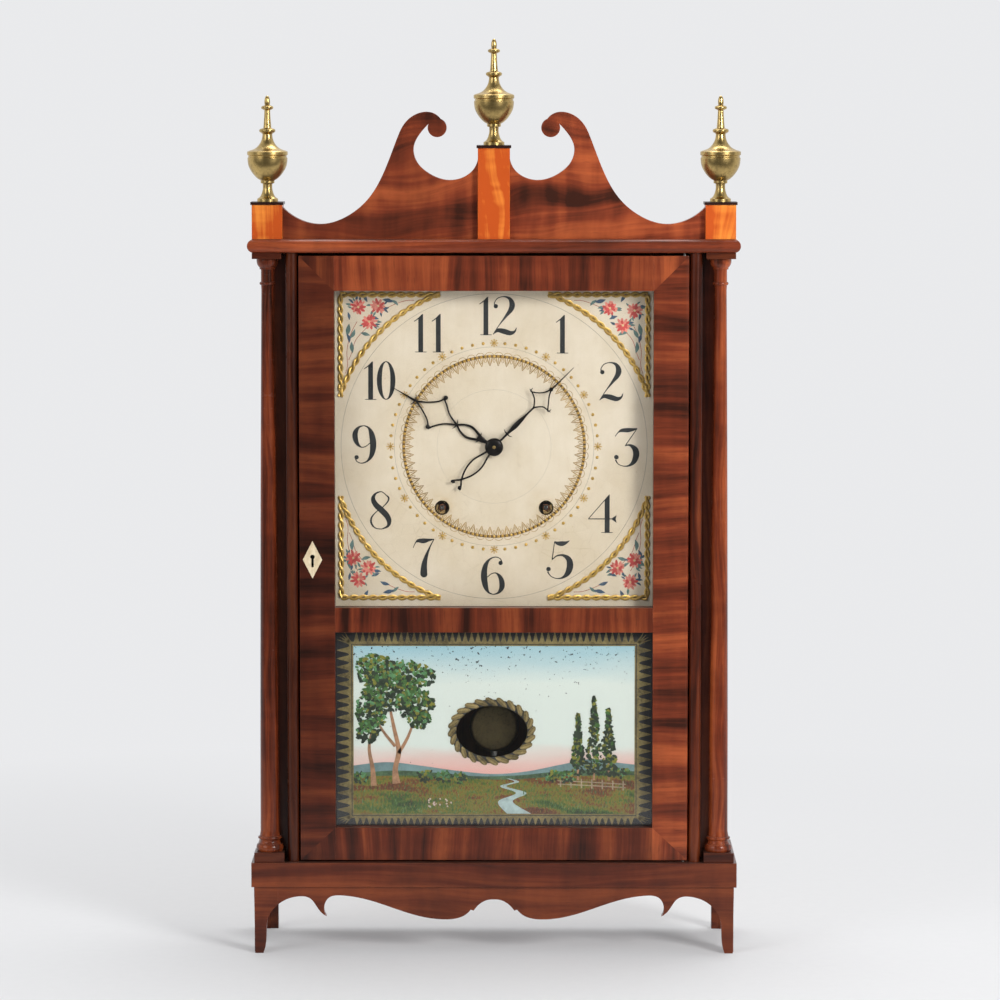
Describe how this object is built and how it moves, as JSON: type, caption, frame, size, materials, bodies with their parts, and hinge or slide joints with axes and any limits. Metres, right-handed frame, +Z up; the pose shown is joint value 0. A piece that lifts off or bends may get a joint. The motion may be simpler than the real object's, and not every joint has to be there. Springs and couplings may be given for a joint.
{
  "type": "pillar and scroll shelf clock",
  "caption": "Shelf clock case with a glazed door, slender columns, scrolled pediment, urn finials and bracket feet, holding a weight driven pendulum movement that strikes a bell.",
  "frame": {"origin": "on the floor, midway between the sides and midway from front to back", "axes": "+Z up, +X to the viewer's right, +Y from the front towards the back"},
  "size_m": [0.4296, 0.128, 0.8012],
  "materials": {
    "mahogany": "French polished, red-brown",
    "light_veneer": "satin, orange-brown",
    "pine": "unfinished softwood",
    "brass": "aged",
    "bone": "polished bone",
    "steel": "dull",
    "blued_steel": "black",
    "dial_paint": "painted, semi-gloss",
    "glass": "clear",
    "painted_glass": "reverse painted",
    "cherry": "plain, oiled",
    "iron": "rough",
    "cord": "twisted hemp"
  },
  "bodies": {
    "case": {"back_board": "pine", "back_plate": "cherry", "base_frame": "mahogany", "bell": "iron", "bell_stand": "iron", "column_blocks": "mahogany", "columns": "mahogany", "cord_runs": "cord", "cornice": "mahogany", "dial_board": "dial_paint", "finial_plinths": "light_veneer", "finials": "brass", "front_apron": "mahogany", "front_feet": "mahogany", "front_plate": "cherry", "front_stiles": "mahogany", "hinge_pins": "steel", "inner_rails": "pine", "jamb_beads": "mahogany", "pillars": "cherry", "pulley_brackets": "iron", "scroll_boards": "mahogany", "side_aprons": "mahogany", "side_panels": "mahogany", "strike_cord_drop": "cord", "time_cord_drop": "cord", "weight_partitions": "pine", "winding_bushes": "brass"},
    "door": {"door_stiles": "mahogany", "door_rails": "mahogany", "dial_glass": "glass", "tablet_glass": "painted_glass", "glazing_beads": "mahogany", "escutcheon": "bone", "lock_case": "steel"},
    "bolt": {"lock_bolt": "steel"},
    "minute": {"centre_arbor": "cherry", "minute_hand": "blued_steel"},
    "hour": {"hour_wheel": "cherry", "hour_hand": "blued_steel"},
    "minute_wheel": {"minute_wheel": "cherry"},
    "second": {"second_arbor": "cherry"},
    "third": {"third_arbor": "cherry"},
    "escape": {"escape_arbor": "cherry"},
    "time_great": {"time_great_wheel": "cherry"},
    "verge": {"verge": "steel"},
    "pendulum": {"pendulum_rod": "steel", "pendulum_bob": "brass"},
    "time_drum": {"time_drum": "cherry"},
    "strike_drum": {"strike_drum": "cherry"},
    "strike_great": {"strike_great_wheel": "cherry"},
    "pin_wheel": {"pin_wheel": "cherry"},
    "count_wheel": {"count_wheel": "cherry"},
    "warning_wheel": {"warning_wheel": "cherry"},
    "fly": {"fly": "cherry"},
    "hammer": {"hammer": "steel"},
    "time_weight": {"time_weight": "iron"},
    "strike_weight": {"strike_weight": "iron"},
    "time_pulley": {"time_pulley": "cherry"},
    "strike_pulley": {"strike_pulley": "cherry"}
  },
  "joints": [
    {"name": "door_swing", "type": "hinge", "parent": "case", "child": "door", "pos_m": [0.166, -0.0535, 0.34765], "axis": [0, 0, 1], "range_deg": [0, 115]},
    {"name": "lock_bolt_slide", "type": "slide", "parent": "door", "child": "bolt", "axis": [-1, 0, 0], "range_m": [0, 0.004]},
    {"name": "minute_hand_turn", "type": "hinge", "parent": "case", "child": "minute", "pos_m": [0, 0.022, 0.445], "axis": [0, 1, 0], "continuous": true},
    {"name": "hour_hand_turn", "type": "hinge", "parent": "case", "child": "hour", "pos_m": [0, -0.014, 0.445], "axis": [0, 1, 0], "continuous": true},
    {"name": "minute_wheel_turn", "type": "hinge", "parent": "case", "child": "minute_wheel", "pos_m": [-0.01697, -0.0092, 0.46197], "axis": [0, 1, 0], "continuous": true},
    {"name": "second_arbor_turn", "type": "hinge", "parent": "case", "child": "second", "pos_m": [0.02731, 0.022, 0.4193], "axis": [0, 1, 0], "continuous": true},
    {"name": "third_arbor_turn", "type": "hinge", "parent": "case", "child": "third", "pos_m": [-0.01016, 0.022, 0.41046], "axis": [0, 1, 0], "continuous": true},
    {"name": "escape_wheel_turn", "type": "hinge", "parent": "case", "child": "escape", "pos_m": [0, 0.022, 0.37802], "axis": [0, 1, 0], "continuous": true},
    {"name": "time_great_wheel_turn", "type": "hinge", "parent": "case", "child": "time_great", "pos_m": [0.0457, 0.005, 0.391], "axis": [0, 1, 0], "continuous": true},
    {"name": "pendulum_swing", "type": "hinge", "parent": "case", "child": "pendulum", "pos_m": [0, -0.015, 0.41302], "axis": [0, 1, 0], "range_deg": [-3.5, 3.5]},
    {"name": "verge_rock", "type": "hinge", "parent": "case", "child": "verge", "pos_m": [0, -0.009, 0.41302], "axis": [0, 1, 0], "range_deg": [-3.5, 3.5]},
    {"name": "pin_wheel_turn", "type": "hinge", "parent": "case", "child": "pin_wheel", "pos_m": [-0.06028, 0.022, 0.42144], "axis": [0, 1, 0], "continuous": true},
    {"name": "strike_great_wheel_turn", "type": "hinge", "parent": "case", "child": "strike_great", "pos_m": [-0.0457, 0.005, 0.391], "axis": [0, 1, 0], "continuous": true},
    {"name": "count_wheel_turn", "type": "hinge", "parent": "case", "child": "count_wheel", "pos_m": [-0.08094, -0.009, 0.44895], "axis": [0, 1, 0], "continuous": true},
    {"name": "warning_wheel_turn", "type": "hinge", "parent": "case", "child": "warning_wheel", "pos_m": [-0.05528, 0.022, 0.44899], "axis": [0, 1, 0], "continuous": true},
    {"name": "fly_turn", "type": "hinge", "parent": "case", "child": "fly", "pos_m": [-0.04021, 0.022, 0.46766], "axis": [0, 1, 0], "continuous": true},
    {"name": "hammer_lift", "type": "hinge", "parent": "case", "child": "hammer", "pos_m": [-0.075, 0.02, 0.372], "axis": [0, 1, 0], "range_deg": [0, 18]},
    {"name": "time_weight_rise", "type": "slide", "parent": "case", "child": "time_weight", "axis": [0, 0, 1], "range_m": [0, 0.3], "deforming": ["time_cord_drop"]},
    {"name": "strike_weight_rise", "type": "slide", "parent": "case", "child": "strike_weight", "axis": [0, 0, 1], "range_m": [0, 0.3], "deforming": ["strike_cord_drop"]},
    {"name": "time_drum_wind", "type": "hinge", "parent": "case", "child": "time_drum", "pos_m": [0.0457, 0.022, 0.391], "axis": [0, -1, 0], "range_deg": [0, 1344]},
    {"name": "strike_drum_wind", "type": "hinge", "parent": "case", "child": "strike_drum", "pos_m": [-0.0457, 0.022, 0.391], "axis": [0, 1, 0], "range_deg": [0, 1344]},
    {"name": "time_pulley_turn", "type": "hinge", "parent": "case", "child": "time_pulley", "pos_m": [0.1452, 0.02, 0.588], "axis": [0, -1, 0], "range_deg": [0, 1056]},
    {"name": "strike_pulley_turn", "type": "hinge", "parent": "case", "child": "strike_pulley", "pos_m": [-0.1452, 0.02, 0.588], "axis": [0, 1, 0], "range_deg": [0, 1056]}
  ],
  "couplings": [
    {"joint": "minute_wheel_turn", "follows": "minute_hand_turn", "ratio": -0.33333},
    {"joint": "hour_hand_turn", "follows": "minute_hand_turn", "ratio": 0.083333},
    {"joint": "second_arbor_turn", "follows": "minute_hand_turn", "ratio": -0.66667},
    {"joint": "time_great_wheel_turn", "follows": "minute_hand_turn", "ratio": 0.15152},
    {"joint": "third_arbor_turn", "follows": "minute_hand_turn", "ratio": -8},
    {"joint": "escape_wheel_turn", "follows": "minute_hand_turn", "ratio": 60},
    {"joint": "verge_rock", "follows": "pendulum_swing", "ratio": 1},
    {"joint": "strike_great_wheel_turn", "follows": "pin_wheel_turn", "ratio": -0.22727},
    {"joint": "count_wheel_turn", "follows": "pin_wheel_turn", "ratio": -0.10256},
    {"joint": "warning_wheel_turn", "follows": "pin_wheel_turn", "ratio": -6},
    {"joint": "fly_turn", "follows": "pin_wheel_turn", "ratio": 30},
    {"joint": "time_drum_wind", "follows": "time_weight_rise", "rad_per_m": 78.125},
    {"joint": "time_pulley_turn", "follows": "time_weight_rise", "rad_per_m": 61.35},
    {"joint": "strike_drum_wind", "follows": "strike_weight_rise", "rad_per_m": 78.125},
    {"joint": "strike_pulley_turn", "follows": "strike_weight_rise", "rad_per_m": 61.35}
  ]
}
